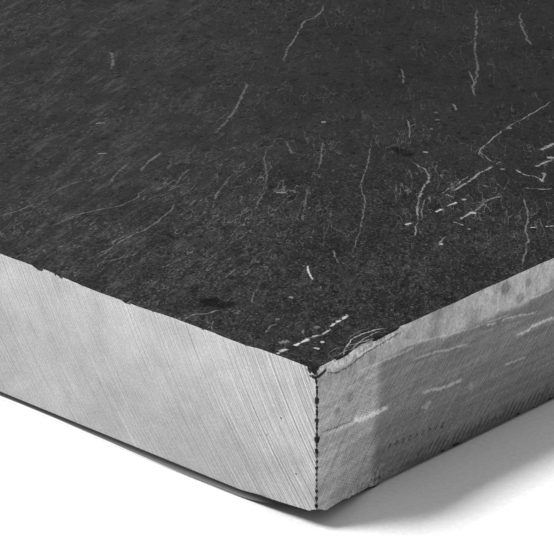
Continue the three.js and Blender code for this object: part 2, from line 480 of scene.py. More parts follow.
# A fine line that wanders off its run, frays, and thins out to nothing at both ends.
hairline, given, result = new_group(
    "hairline",
    {"Along": FLOAT, "Across": FLOAT, "Wander": FLOAT, "Fray": FLOAT, "Width": FLOAT, "Strength": FLOAT},
    {"Mask": FLOAT},
)
off = calc(hairline, "ABSOLUTE", calc(hairline, "SUBTRACT", given["Across"], given["Wander"]))
frayed = times(hairline, given["Width"], given["Fray"])
line = calc(hairline, "SUBTRACT", 1, calc(hairline, "DIVIDE", off, frayed), clamp=True)
start, end = fade(hairline, given["Along"], -0.01, 0.12), fade(hairline, given["Along"], 0.88, 1.01, 1, 0)
ends = times(hairline, start, end)
worn = fade(hairline, given["Fray"], 0.1, 1.0, 0.25, 1)
mask = times(hairline, fade(hairline, line, 0, 0.8), ends, worn, given["Strength"])
hairline.links.new(mask, result["Mask"])

# A round spot with a ragged rim.
spot, given, result = new_group(
    "spot",
    {"Position": VECTOR, "Middle": VECTOR, "Size": FLOAT, "Fray": FLOAT, "Strength": FLOAT},
    {"Mask": FLOAT},
)
reach = vector(spot, "DISTANCE", given["Position"], given["Middle"], out="Value")
fraying, uneven = calc(spot, "SUBTRACT", given["Fray"], 1), times(spot, given["Size"], 0.3)
rim = calc(spot, "MULTIPLY_ADD", fraying, uneven, given["Size"])
inside = fade(spot, calc(spot, "DIVIDE", reach, rim), 0.6, 1.0, 1, 0)
spot.links.new(times(spot, inside, given["Strength"]), result["Mask"])


def strongest(tree, masks):
    total = masks[0]
    for mask in masks[1:]:
        total = calc(tree, "MAXIMUM", total, mask)
    return total


def drawn(tree, position, fray, lines):
    """The strongest of several lines at each point. Each has its points, its width and its strength."""
    total = 0.0
    for stops, width, strength in lines:
        first, last = Vector((*stops[0], 0)), Vector((*stops[-1], 0))
        run = (last - first).normalized()
        length = (last - first).length
        inputs = {"Position": position, "From": first, "Direction": run, "Length": length}
        place = add(tree, "ShaderNodeGroup", inputs, out=None, node_tree=beside)
        wander = 0.0
        if len(stops) > 2:
            bend = tree.nodes.new("ShaderNodeFloatCurve")
            bend.mapping.use_clip = False
            bend.mapping.curves[0].points[0].location = (0, 0)
            bend.mapping.curves[0].points[1].location = (1, 0)
            for stop in stops[1:-1]:
                offset = Vector((*stop, 0)) - first
                off_run = run.x * offset.y - run.y * offset.x
                bend.mapping.curves[0].points.new(offset.dot(run) / length, off_run)
            bend.mapping.update()
            tree.links.new(place["Along"], bend.inputs["Value"])
            wander = bend.outputs[0]
        inputs = {"Along": place["Along"], "Across": place["Across"], "Wander": wander}
        inputs |= {"Fray": fray, "Width": width, "Strength": strength}
        total = calc(tree, "MAXIMUM", total, add(tree, "ShaderNodeGroup", inputs, node_tree=hairline))
    return total


def dotted(tree, position, fray, spots):
    """The strongest of several spots at each point. Each has its middle, its size and its strength."""
    total = 0.0
    for middle, size, strength in spots:
        inputs = {"Position": position, "Middle": (*middle, 0), "Size": size, "Fray": fray}
        inputs["Strength"] = strength
        total = calc(tree, "MAXIMUM", total, add(tree, "ShaderNodeGroup", inputs, node_tree=spot))
    return total


# Marks left by a saw blade, by the distance along the side and the height up it: lines at a slope, which a
# round blade bows, and which come and go.
saw_marks, given, result = new_group(
    "saw_marks",
    {"Run": FLOAT, "Height": FLOAT, "Slope": FLOAT, "Spacing": FLOAT, "Bow": FLOAT},
    {"Marks": FLOAT},
)
run, height = given["Run"], given["Height"]
rise, reach = calc(saw_marks, "SINE", given["Slope"]), calc(saw_marks, "COSINE", given["Slope"])
along = calc(saw_marks, "SUBTRACT", times(saw_marks, run, reach), times(saw_marks, height, rise))
across = calc(saw_marks, "ADD", times(saw_marks, run, rise), times(saw_marks, height, reach))
bowed = calc(saw_marks, "MULTIPLY_ADD", times(saw_marks, height, height), given["Bow"], across)
ruled = calc(saw_marks, "DIVIDE", bowed, given["Spacing"])
inputs = {"W": ruled, "Scale": 1, "Detail": 1, "Roughness": 0.6}
lines = add(saw_marks, "ShaderNodeTexNoise", inputs, noise_dimensions="1D")
inputs = {0: times(saw_marks, along, 0.09), 1: times(saw_marks, ruled, 0.8)}
patch = add(saw_marks, "ShaderNodeCombineXYZ", inputs)
uneven = add(saw_marks, "ShaderNodeTexNoise", {"Vector": patch, "Scale": 1, "Detail": 2})
even = calc(saw_marks, "SINE", calc(saw_marks, "MULTIPLY_ADD", uneven, 9, times(saw_marks, ruled, math.pi)))
marks = calc(saw_marks, "MULTIPLY_ADD", even, 0.09, calc(saw_marks, "SUBTRACT", lines, 0.5))
marks = times(saw_marks, marks, fade(saw_marks, uneven, 0.3, 0.7, 0.3, 1.7))
saw_marks.links.new(marks, result["Marks"])


def ruled_by_saw(tree, run, height, slope, spacing, bow=0.0):
    inputs = {"Run": run, "Height": height, "Slope": slope, "Spacing": spacing, "Bow": bow}
    return add(tree, "ShaderNodeGroup", inputs, node_tree=saw_marks)


def in_millimetres(tree):
    inputs = {0: add(tree, "ShaderNodeTexCoord", out="Object"), "Scale": 1 / MM}
    return add(tree, "ShaderNodeVectorMath", inputs, operation="SCALE")


def axis(tree, position, number):
    return add(tree, "ShaderNodeSeparateXYZ", {0: position}, out=number)


def shaken(tree, position, scale, reach):
    """The position moved about by noise, so that what is drawn from it isn't even."""
    inputs = {"Vector": position, "Scale": scale, "Detail": 2.0}
    shake = add(tree, "ShaderNodeTexNoise", inputs, out="Color")
    centred = vector(tree, "SUBTRACT", position, (reach,) * 3)
    inputs = {0: shake, 1: (2 * reach,) * 3, 2: centred}
    return add(tree, "ShaderNodeVectorMath", inputs, operation="MULTIPLY_ADD")


def finish_stone(tree, albedo, roughness, shine, relief):
    inputs = {"Base Color": albedo, "Roughness": roughness, "Specular IOR Level": shine, "Normal": relief}
    finish_material(tree, inputs)


# Split faces, above and below.
split_slate, tree = new_material("split_slate")
position = in_millimetres(tree)
x, y = axis(tree, position, 0), axis(tree, position, 1)

GRAIN_LEFT, GRAIN_RIGHT = math.radians(18), math.radians(42)  # how far the grain turns from +Y towards -X
swing = fade(tree, calc(tree, "MULTIPLY_ADD", y, 0.9, x), -10, 110)  # from the left grain to the right one


def along_grain(scale, detail, roughness, stretch):
    left_grain = cloud(tree, position, scale, detail, roughness, stretch, GRAIN_LEFT)
    right_grain = cloud(tree, position, scale, detail, roughness, stretch, GRAIN_RIGHT)
    return blend(tree, swing, left_grain, right_grain)


to_corner = vector(tree, "DISTANCE", position, (RIGHT, FRONT + 30, THICKNESS), out="Value")
scuffing = fade(tree, to_corner, 10, 125, 1, 0)  # the stone is handled most by the worn corner
fine = along_grain(1.1, 4, 0.8, (0.6, 1.7))
wisps = along_grain(0.2, 5, 0.72, (0.5, 2.6))
speckle = cloud(tree, position, 2.0, 2, 0.7)
blotch = cloud(tree, position, 0.05, 4, 0.6)
curls = times(
    tree,
    contour(tree, along_grain(0.8, 2, 0.6, (0.6, 1.9)), 0.045),
    fade(tree, cloud(tree, position, 0.33, 2), 0.46, 0.6),
)
threads = times(
    tree,
    contour(tree, along_grain(0.2, 2, 0.55, (0.5, 2.6)), 0.016),
    fade(tree, cloud(tree, position, 0.11, 4, 0.65), 0.42, 0.58),
    fade(tree, speckle, 0.35, 0.6, 0.3, 1),
)
flecks = times(
    tree,
    fade(tree, cloud(tree, position, 0.9, 2, 0.6, (0.5, 1.5), math.radians(16)), 0.59, 0.68),
    fade(tree, cloud(tree, position, 0.11, 3), 0.44, 0.58),
    fade(tree, speckle, 0.4, 0.6, 0.4, 1),
)
pits = fade(tree, cloud(tree, position, 0.6, 3, 0.65), 0.56, 0.66)
fray = fade(tree, cloud(tree, position, 0.8, 3, 0.75), 0.34, 0.66, 0.3, 1.7)
uneven_place = shaken(tree, shaken(tree, position, 0.35, 0.5), 1.4, 0.2)
on_top = add(tree, "ShaderNodeCombineXYZ", {0: axis(tree, uneven_place, 0), 1: axis(tree, uneven_place, 1)})
above = fade(tree, axis(tree, position, 2), 10, 20)  # what is drawn below from listed points shows on the top only

# The renderer has little room left in this material. Two more lines still fit, and with four more the
# whole top turns black, though the render doesn't fail.
VEINS = [  # each with its points, its width and its strength
    ([(144.7, -61.7), (148.6, -62.6), (152.9, -65.2), (155.7, -69.4), (160.3, -76.6), (164, -81.3),
      (167.3, -84.8)], 0.29, 0.41),
    ([(160.1, -74.1), (163.2, -79), (166.2, -82.4), (167.2, -84.1)], 0.21, 0.26),
    ([(167.3, -84.8), (167.8, -86.2), (169.6, -88.4), (171.7, -90.9)], 0.2, 0.38),
    ([(128.2, -43.2), (131.8, -46.4), (136.3, -51.9)], 0.2, 0.29),
    ([(131.8, -46.4), (131.8, -44.4)], 0.2, 0.2),
    ([(143.4, -13.5), (144.9, -20.7), (146.3, -29.1), (147.3, -34.3), (148.9, -40.2), (150.9, -46),
      (151.9, -48), (154, -49.8), (156.7, -51)], 0.2, 0.38),
    ([(152.1, -46.9), (155.6, -49.8), (158.5, -49.5)], 0.16, 0.36),
    ([(172, -59.9), (176.4, -63.7), (180.7, -68.2), (185, -74.1), (188, -77.3), (191.8, -82.6),
      (195.5, -90)], 0.23, 0.25),
    ([(188, -77.3), (189.5, -79.6), (190.3, -81)], 0.22, 0.3),
    ([(62, 3), (66, 0), (69, -9.5), (76.5, -21.5), (80, -27.5), (85.5, -32.5)], 0.33, 0.2),
    ([(90, 25.5), (99.5, 14), (109, 2), (118.5, -8.5), (126.5, -19.5), (129.5, -22)], 0.4, 0.16),
    ([(101, 29), (103.5, 24.5), (112, 16), (118, 12.5)], 0.36, 0.17),
    ([(128.5, -29.1), (130.3, -30.1), (132.7, -32.4)], 0.27, 0.25),
    ([(130.9, -56.9), (133.6, -60.4), (140.6, -69.5), (146.2, -77.6), (152.1, -83.2), (158.7, -91.5),
      (168.4, -106.7)], 0.18, 0.22),
    ([(164.5, -106.6), (169.4, -110.2)], 0.18, 0.26),
    ([(159, -59.7), (159.7, -63.2), (161.1, -68.4)], 0.16, 0.4),
    ([(117.5, -10.2), (123.4, -15.8), (126.9, -20.2), (130.7, -22.4)], 0.2, 0.24),
    ([(105.7, -18.9), (109.4, -22.2), (112.8, -26.7)], 0.26, 0.16),
    ([(178, -91.4), (176.3, -88.5), (176, -86.7)], 0.21, 0.54),
    ([(167.8, -149.3), (166.9, -146.6), (168.3, -144), (168.7, -141.5)], 0.2, 0.36),
    ([(171.3, -146), (173.8, -149.2)], 0.18, 0.28),
    ([(133.4, -137.7), (132.9, -133.7), (131.1, -130.7), (131.5, -125.7)], 0.2, 0.24),
    ([(137.9, -142.9), (136.4, -139), (135.3, -135.8)], 0.2, 0.2),
    ([(118, -74), (122.5, -80), (129.5, -87), (136, -95.5)], 0.25, 0.14),
    ([(164.9, -126.9), (167.4, -130.8), (168.4, -132.5), (171.2, -135.1)], 0.2, 0.2),
    ([(180.4, -139.3), (180.7, -141.3), (182, -143.7)], 0.22, 0.25),
    ([(134.4, -140.1), (134.5, -137.9), (133.1, -133.9), (131.3, -125.7), (130.5, -119.5),
      (124.6, -109)], 0.28, 0.22),
    ([(117.2, -134.6), (116.6, -127.3), (118.8, -115.9), (117.1, -110.1), (115.6, -106.3)], 0.3, 0.17),
    ([(109.6, -111.8), (106, -105.3), (103, -98.8)], 0.4, 0.15),
    ([(108.5, -101.4), (105.6, -95.6), (103.7, -90.3)], 0.42, 0.2),
    ([(130.9, -103.2), (127, -97.2), (125.8, -93.1)], 0.3, 0.17),
    ([(147.1, -135), (146.8, -130.7), (146.4, -127)], 0.22, 0.18),
    ([(135.1, -78.4), (131.2, -72.8), (124.3, -64.9)], 0.3, 0.17),
    ([(106, -137.1), (106.5, -132.3), (106.2, -128.3)], 0.36, 0.17),
    ([(119.5, -102.7), (116.6, -97.8), (114.7, -93.5)], 0.34, 0.13),
    ([(158.9, -130.7), (158.4, -128), (157.6, -125.3)], 0.2, 0.2),
    ([(136.9, -139.8), (137.7, -137.7), (138.2, -135.2)], 0.22, 0.18),
    ([(140.3, -101.9), (135.8, -95.1)], 0.28, 0.16),
    ([(118.3, -68.9), (124.8, -74.7)], 0.34, 0.15),
    ([(151.2, -100.4), (147.2, -95.4), (139.4, -85.7)], 0.26, 0.14),
    ([(104.1, -120.6), (103.5, -115.9), (103.9, -112.5)], 0.34, 0.14),
    ([(85, -48), (90, -51), (97, -61.5), (100.5, -67.5), (104.5, -76.5)], 0.38, 0.17),
]
SCRATCHES = [
    ([(158.4, -51.9), (159.1, -53.4), (159.5, -57.4), (160.3, -60), (161.4, -65.3),
      (161.8, -68.5)], 0.34, 0.45),
    ([(160.2, -66.1), (160.5, -68.1), (161.2, -70.7)], 0.26, 0.36),
    ([(161.9, -70.4), (163.8, -70.7)], 0.3, 0.42),
    ([(158.8, -51.2), (158.4, -49.4)], 0.34, 0.26),
    ([(166, -75), (166.2, -72)], 0.38, 0.8),
    ([(166.3, -78.8), (166.2, -76.6)], 0.42, 0.85),
    ([(166.4, -87.9), (166.6, -86.2)], 0.36, 0.8),
    ([(171.9, -62.4), (170.7, -63.5), (169.7, -66.8), (170.4, -69.3), (171.6, -73.6),
      (172.1, -78.8)], 0.38, 0.25),
    ([(172.3, -80.5), (173.4, -80.3), (174.9, -80.4)], 0.34, 0.45),
    ([(176.2, -80.7), (177.1, -81.4)], 0.32, 0.32),
    ([(163.2, -50.5), (166.2, -51.5), (168.9, -50.9), (171.6, -52.6)], 0.28, 0.55),
    ([(171.4, -52.4), (168.9, -48.1)], 0.22, 0.4),
    ([(170.8, -57.1), (172.3, -55.9), (174.1, -55.1), (175.1, -53.6)], 0.28, 0.34),
    ([(172.4, -78.8), (171.9, -76.1), (171.5, -72.9)], 0.3, 0.6),
    ([(164.9, -46.8), (165.2, -45.9), (165.1, -43.7), (165.4, -41)], 0.42, 0.52),
    ([(163.7, -41.2), (164.8, -40)], 0.7, 0.5),
    ([(159.7, -38.9), (160.2, -37.7), (159.9, -35.9), (159.8, -33.5)], 0.7, 0.5),
    ([(184.9, -72.9), (185.8, -71.7)], 0.28, 0.9),
    ([(186.7, -70.4), (187.7, -69)], 0.28, 0.85),
    ([(166, -115), (168.4, -117.4), (171.6, -119.6)], 0.22, 1),
    ([(174.7, -121.1), (175.5, -121.9)], 0.28, 0.35),
    ([(172.1, -140.8), (171.3, -139.3)], 0.5, 0.28),
    ([(187.2, -127.8), (188, -129.5), (188.3, -131.8), (188.6, -134.2)], 0.4, 1.0),
    ([(188.9, -134.6), (189.9, -137), (189.5, -139.3), (189.6, -140.8)], 0.32, 0.7),
    ([(189.6, -140.6), (189.8, -142.4), (189.9, -145)], 0.5, 1.1),
    ([(190.3, -146.8), (190, -147.6), (190, -149.7)], 0.62, 0.85),
    ([(192.9, -143), (194, -142.7)], 0.4, 0.95),
    ([(187, -145.8), (187.7, -143.8)], 0.75, 0.3),
    ([(186.1, -138.2), (187, -139.4), (187.9, -140)], 0.26, 0.25),
    ([(137, -92.5), (138.5, -91)], 0.45, 0.36),
    ([(82.2, -88), (82.6, -87), (83.5, -86.3)], 0.34, 0.36),
    ([(95, -100), (96.2, -98.4)], 0.3, 0.3),
    ([(115.9, -55.7), (116.5, -55)], 0.5, 0.7),
    ([(49, -54.5), (52, -53.5), (56.5, -57.5), (59, -62)], 0.5, 0.16),
]
PALE_SPOTS = [  # each with its middle, its size and its strength
    ((130.2, -36.2), 0.6, 0.14),
    ((133.4, -39.5), 0.6, 0.14),
    ((136.1, -44.5), 0.5, 0.16),
    ((144, -55.5), 0.6, 0.4),
    ((147.5, -33.2), 0.7, 0.25),
    ((161.2, -52.2), 0.6, 0.28),
    ((166.1, -70.1), 0.5, 0.5),
    ((171.9, -74.2), 0.7, 0.7),
    ((177.8, -90.4), 0.5, 0.7),
    ((168.8, -48.5), 0.6, 0.3),
    ((164.6, -61.5), 0.6, 0.14),
    ((192.2, -140.1), 0.55, 0.85),
    ((187.1, -136), 0.8, 0.2),
    ((174.2, -128.7), 0.6, 0.35),
    ((179, -137.4), 0.6, 0.18),
]
SCAR_RIPPLES = [  # the shell-like hollow behind the tip, outlined, with ripples inside
    ([(197.5, -139.5), (196, -137), (195.1, -133.3), (195.5, -130), (198.3, -127.6)], 0.2, 0.75),
    ([(198.2, -138.8), (197.2, -136), (196.6, -133), (197.2, -129.5)], 0.15, 0.6),
    ([(198.6, -138), (198.1, -135.5), (198.6, -132.2)], 0.14, 0.6),
    ([(199, -142), (196.8, -139), (195.9, -136.5)], 0.15, 0.35),
    ([(196.5, -138.9), (197.1, -136.4), (198, -132.4)], 0.16, 0.5),
    ([(198.2, -142.6), (197.9, -140.6), (198.4, -137.8)], 0.15, 0.45),
    ([(196.6, -143.4), (196, -141.4), (196.4, -139)], 0.14, 0.3),
    ([(194.9, -136.4), (194, -133), (194.4, -129.8)], 0.14, 0.25),
]
# Painted shadow: black spots where two hollows in the top lie in shade.
HOLLOW_SHADOWS = [  # black, each with its middle, its size and its strength
    ((165, -139.9), 2.6, 1),
    ((167.8, -139.2), 2, 1),
    ((140.4, -58.4), 1.9, 1),
    ((142.3, -59.2), 1.6, 0.9),
    ((138.2, -58.4), 1.3, 0.7),
]
vein_fray = fade(tree, cloud(tree, position, 0.6, 4, 0.75), 0.36, 0.64, 0.4, 1.45)
veins = drawn(tree, uneven_place, vein_fray, VEINS)
scratches = drawn(tree, shaken(tree, position, 1.6, 0.16), fray, SCRATCHES)
pale_spots = dotted(tree, on_top, fray, PALE_SPOTS)
ripple_fray = fade(tree, speckle, 0.3, 0.7, 0.5, 1.4)
ripples = drawn(tree, shaken(tree, position, 0.8, 0.25), ripple_fray, SCAR_RIPPLES)
# The painted shadow in the hollows, on the top only; the same mask also dents the relief.
hollow_shadows = times(tree, dotted(tree, on_top, fray, HOLLOW_SHADOWS), above)

contrast = fade(tree, scuffing, 0, 0.7, 0.36, 1.0)
grain = times(
    tree,
    fade(tree, fine, 0.36, 0.66, 0.56, 1.5),
    fade(tree, speckle, 0.34, 0.7, 0.6, 1.5),
    fade(tree, wisps, 0.35, 0.65, fade(tree, swing, 0, 1, 0.72, 0.88), fade(tree, swing, 0, 1, 1.3, 1.12)),
)
grain = blend(tree, contrast, 1.0, grain)
dark = calc(tree, "SUBTRACT", 1, calc(tree, "MAXIMUM", times(tree, pits, 0.5), times(tree, hollow_shadows, 0.72)))
stone_colour = fade(tree, swing, 0, 1, 0.0308, 0.0222)
base = times(tree, grain, dark, fade(tree, blotch, 0.3, 0.7, 0.86, 1.12), stone_colour)
pale = [
    times(tree, threads, fade(tree, scuffing, 0, 0.5, 0.09, 0.22), fade(tree, scuffing, 0.6, 0.95, 1, 0.5)),
    times(tree, curls, fade(tree, scuffing, 0.2, 1, 0.01, 0.07)),
    times(tree, flecks, fade(tree, swing, 0, 1, 0.2, 0.06), fade(tree, scuffing, 0, 0.35, 0.5, 1)),
    times(tree, fade(tree, wisps, 0.52, 0.66), fade(tree, swing, 0, 1, 0.055, 0.01)),
    times(tree, fade(tree, speckle, 0.62, 0.72), fade(tree, scuffing, 0, 1, 0.04, 0.2)),
    times(tree, strongest(tree, [veins, scratches, pale_spots, ripples]), above),
]
pale = times(tree, strongest(tree, pale), fade(tree, hollow_shadows, 0, 1, 0.5, 0.15))
albedo = calc(tree, "ADD", pale, base)
height = calc(tree, "MULTIPLY_ADD", wisps, 1.5, calc(tree, "MULTIPLY_ADD", speckle, 0.25, fine))
height = calc(tree, "MULTIPLY_ADD", hollow_shadows, -1.5, height)
relief = add(tree, "ShaderNodeBump", {"Height": height, "Strength": 0.8, "Distance": 0.16 * MM})
roughness = fade(tree, fine, 0.3, 0.7, 0.6, 0.85)
finish_stone(tree, albedo, roughness, 0.05, relief)


# Sawn sides. The vertical arris of the worn corner is a row of black bites, joined by a black line: dark
# inner stone, with painted shade in the bites.
def side_with_chips(tree, position, from_arris, height, side_albedo, dark_marks_and_shade):
    """The side's colour, with the dark inner stone, darkened further as painted shade, where a flake or the
    arris is gone.
    """
    lost = add(tree, "ShaderNodeAttribute", out="Fac", attribute_name="broken")
    ragged = calc(tree, "MULTIPLY_ADD", cloud(tree, position, 2.2, 3, 0.7), 0.12, lost)
    line_width = fade(tree, cloud(tree, position, 0.9, 3, 0.8, (9, 9)), 0.35, 0.65, 0.06, 0.42)
    line = fade(tree, calc(tree, "SUBTRACT", from_arris, line_width), -0.05, 0.05, 1, 0)
    line = times(tree, line, fade(tree, height, 4, 22, 0.5, 1))
    inner_stone_and_shade = fade(tree, cloud(tree, position, 1.1, 4, 0.7), 0.3, 0.7, 0.003, 0.022)
    bare_and_shaded = strongest(tree, [fade(tree, ragged, 0.1, 0.16), line, dark_marks_and_shade])
    return blend(tree, bare_and_shaded, side_albedo, inner_stone_and_shade)


def corner_beads(arris):
    return [((arris, height), size, 1.0) for height, size in CORNER_BEADS]


# Front and back: pale, with marks that show best near the worn corner.
sawn_front, tree = new_material("sawn_front")
position = in_millimetres(tree)
run, height = axis(tree, position, 0), axis(tree, position, 2)
on_side = add(tree, "ShaderNodeCombineXYZ", {0: run, 1: height})
fray = fade(tree, cloud(tree, position, 1.9, 3, 0.7), 0.3, 0.7, 0.35, 1.6)
FRONT_SLOPE, FRONT_BOW = math.radians(48), -0.005
fine_lines = ruled_by_saw(tree, run, height, FRONT_SLOPE, 0.21, FRONT_BOW)
plain_lines = ruled_by_saw(tree, run, height, FRONT_SLOPE + 0.02, 0.42, FRONT_BOW)
lines = calc(tree, "MULTIPLY_ADD", plain_lines, fade(tree, run, 140, RIGHT, 0.2, 0.8), fine_lines)
grit = cloud(tree, position, 2.4, 3, 0.8)
albedo = times(
    tree,
    calc(tree, "MULTIPLY_ADD", lines, fade(tree, run, 170, RIGHT, 0.32, 0.55), 0.43),
    fade(tree, cloud(tree, position, 0.07, 4, 0.6), 0.3, 0.7, 0.9, 1.08),
    fade(tree, cloud(tree, position, 0.3, 3, 0.6, (1.2, 1)), 0.3, 0.7, 0.94, 1.05),
    fade(tree, grit, 0.3, 0.7, 0.83, 1.17),
    fade(tree, height, 0, 31, 0.87, 1.05),
)
rim_patches = fade(tree, cloud(tree, position, 1.2, 2), 0.4, 0.6)
bright_rim = times(tree, fade(tree, height, 29.9, 30.8), rim_patches)
albedo = calc(tree, "MULTIPLY_ADD", bright_rim, 0.08, albedo)
# The corner's beads and the chips along the upper arris are dark inner stone, painted darker as shade.
FRONT_SPOTS = corner_beads(RIGHT) + [
    # By the tip: dark inner stone, and the painted shadow of the crack under the top lamina.
    ((RIGHT - 0.4, 30.1), 0.55, 1),
    ((RIGHT - 0.9, 30.7), 0.4, 1),
    ((RIGHT - 0.3, 29.4), 0.62, 1),
    ((RIGHT - 1, 29.35), 0.45, 1),
    ((RIGHT - 1.6, 29.35), 0.28, 1),
    ((191.5, 19.1), 0.28, 0.75),
    ((188.1, 14.8), 0.24, 0.5),
    ((195.1, 9.4), 0.26, 0.75),
    ((172, 21), 0.24, 0.35),
    ((146, 12), 0.5, 0.2),
    ((163, 9), 1.2, 0.08),
    ((178, 25), 1.6, 0.06),
] + [((x, 30.7), 0.75 * size, 0.9) for x, size in FRONT_ARRIS]
# Painted shadow: a black line along the crack under the top lamina at the worn tip.
TIP_CRACK_SHADOW = ([(RIGHT - 1.5, 29.5), (RIGHT - 0.7, 29.3), (RIGHT + 0.3, 29.3)], 0.45, 1)
tip_crack_shadow = drawn(tree, on_side, 1.0, [TIP_CRACK_SHADOW])
dark = calc(tree, "MAXIMUM", dotted(tree, on_side, fray, FRONT_SPOTS), tip_crack_shadow)
from_arris = calc(tree, "SUBTRACT", RIGHT, run)
albedo = side_with_chips(tree, position, from_arris, height, albedo, dark)
# The lowest lamina, set in under the face: its own grey, painted black right below the face and paler
# downwards as shade, and darker towards the worn tip as the shade of the overhang; at its foot it is painted
# near white, as the lit floor. The foot of the face lies level and then rises towards the worn tip.
FOOT_RISES_FROM, FOOT_RISE, FOOT_HEIGHT = 182, 0.085, 1.9
past = calc(tree, "MAXIMUM", calc(tree, "SUBTRACT", run, FOOT_RISES_FROM), 0)
face_foot = calc(tree, "MULTIPLY_ADD", past, FOOT_RISE, FOOT_HEIGHT)
below = calc(tree, "SUBTRACT", face_foot, height)
at_front = fade(tree, axis(tree, position, 1), FRONT + 1.5, FRONT + 2, 1, 0)
lip = times(tree, fade(tree, below, -0.05, 0.05), at_front)
# Painted shade on the lamina: black under the face, paler downwards, darker towards the tip.
lamina_colour_and_shade = times(tree, fade(tree, below, 0.4, 1.8, 0.03, 0.22), fade(tree, run, 181, 190, 1, 0.25))
# Painted near white at the lamina's foot, as the lit floor.
floor_white_line = fade(tree, run, 122, 185, 0.95, 1.8)
painted_floor_white = fade(tree, calc(tree, "SUBTRACT", below, floor_white_line), 0, 0.25)
lamina_colour_and_shade = blend(tree, times(tree, painted_floor_white, fade(tree, run, 100, 110)), lamina_colour_and_shade, 0.8)
albedo = blend(tree, lip, albedo, lamina_colour_and_shade)
relief_height = calc(tree, "MULTIPLY_ADD", grit, 0.3, lines)
relief = add(tree, "ShaderNodeBump", {"Height": relief_height, "Strength": 0.6, "Distance": 0.07 * MM})
finish_stone(tree, albedo, 0.82, 0.2, relief)

# Right and left: darker and finer, pale again near the worn corner and along the rubbed upper arris.
sawn_right, tree = new_material("sawn_right")
position = in_millimetres(tree)
run, height = axis(tree, position, 1), axis(tree, position, 2)
on_side = add(tree, "ShaderNodeCombineXYZ", {0: run, 1: height})
fray = fade(tree, cloud(tree, position, 1.9, 3, 0.7), 0.3, 0.7, 0.3, 1.7)
uneven_place = shaken(tree, on_side, 0.5, 0.3)
ALL_PALE, NO_LONGER_PALE = -133.8, -129.2
near = fade(tree, axis(tree, shaken(tree, position, 0.2, 0.6), 1), ALL_PALE, NO_LONGER_PALE, 1, 0)
RIGHT_SLOPE = math.radians(-48)
fine_lines = ruled_by_saw(tree, run, height, RIGHT_SLOPE, 0.21)
cross_lines = ruled_by_saw(tree, run, height, -RIGHT_SLOPE - 0.35, 0.2)
plain_lines = ruled_by_saw(tree, run, height, RIGHT_SLOPE, 0.6, 0.003)
lines = calc(tree, "MULTIPLY_ADD", plain_lines, 0.12, fine_lines)
lines = calc(tree, "MULTIPLY_ADD", cross_lines, times(tree, near, 0.35), lines)
grit = cloud(tree, position, 2.2, 2, 0.8)
base = times(
    tree,
    fade(tree, near, 0, 1, 0.21, 0.4),
    fade(tree, height, 0.5, 26, 0.93, 1.1),
    fade(tree, cloud(tree, on_side, 0.3, 4, 0.6, (1.0, 2.2), -0.5), 0.3, 0.7, 0.91, 1.09),
    fade(tree, cloud(tree, on_side, 0.5, 4, 0.7, (12, 0.7)), 0.34, 0.68, 0.84, 1.18),
)

# The rubbed band, from an uneven line some six millimetres down up to the arris.
edge_wave = calc(tree, "MULTIPLY_ADD", cloud(tree, on_side, 0.12, 3, 0.6, (1.6, 9)), 3.0, -1.5)
band_foot = calc(tree, "ADD", fade(tree, run, -126, -108, 26.4, 24.7), edge_wave)
band = fade(tree, calc(tree, "SUBTRACT", height, band_foot), -0.8, 0.7)
mottle = times(
    tree,
    fade(tree, cloud(tree, on_side, 0.2, 4, 0.65, (1.1, 1.7), -0.3), 0.36, 0.56, 0.3, 0.47),
    fade(tree, cloud(tree, on_side, 0.9, 3, 0.7, (0.8, 1.8), -0.3), 0.3, 0.7, 0.88, 1.12),
    fade(tree, run, -135, -90, 0.98, 1.22),
)
base = blend(tree, band, base, mottle)
# Where the flake behind the tip is gone, the rim is bruised pale.
bruise = times(tree, fade(tree, height, 28.5, 29.3), fade(tree, run, -128, -121, 1, 0))
base = blend(tree, bruise, base, fade(tree, cloud(tree, position, 0.8, 3, 0.7), 0.36, 0.62, 0.42, 0.78))

PALE_STREAKS = [  # bruises, each with its points, its width and its strength
    ([(-139, 26.6), (-134.5, 26.1), (-129.5, 25.8), (-121, 25.8)], 0.35, 0.55),
    ([(-125.5, 26.8), (-119, 26.1), (-110, 24.8), (-106, 24.4)], 0.26, 0.4),
    ([(-122.7, 23.1), (-116.3, 22.8), (-110.6, 21.8), (-105.8, 21.2)], 0.35, 0.45),
    ([(-101.5, 23.5), (-98.5, 23)], 0.26, 0.8),
    ([(-106.5, 24.3), (-101, 23.9), (-94, 23.4)], 0.24, 0.35),
    ([(-97.5, 23.1), (-92.5, 22.5), (-86.5, 21.2)], 0.3, 0.6),
    ([(-92.4, 18.8), (-89.4, 18.2), (-87, 18.7), (-84.9, 18.7), (-80, 18.4)], 0.5, 0.95),
    ([(-89.1, 25), (-84.9, 24.8), (-80, 25.4)], 0.35, 0.5),
    ([(-119, 15.4), (-115.5, 15), (-113.3, 14.5), (-106.5, 14.3)], 0.5, 0.65),
    ([(-95, 13.2), (-88, 12.6)], 0.35, 0.5),
    ([(-148.9, 18), (-144.5, 17.5), (-139.9, 16.9), (-135.2, 16.3), (-128.5, 15.5)], 0.6, 0.45),
    ([(-139.5, 16.9), (-135.2, 16.4), (-131.4, 15.8), (-127.6, 15.6)], 0.75, 1.1),
    ([(-137.5, 16.2), (-134.5, 15.8), (-131.5, 15.3)], 0.4, 0.8),
    ([(-116.3, 13), (-117.2, 11.4)], 0.8, 0.45),
    ([(-118.5, 12), (-115.8, 12.8)], 0.5, 0.35),
    ([(-104.6, 12.9), (-104, 11.2)], 0.7, 0.25),
    ([(-109, 13), (-107.6, 12.8)], 0.4, 0.25),
]
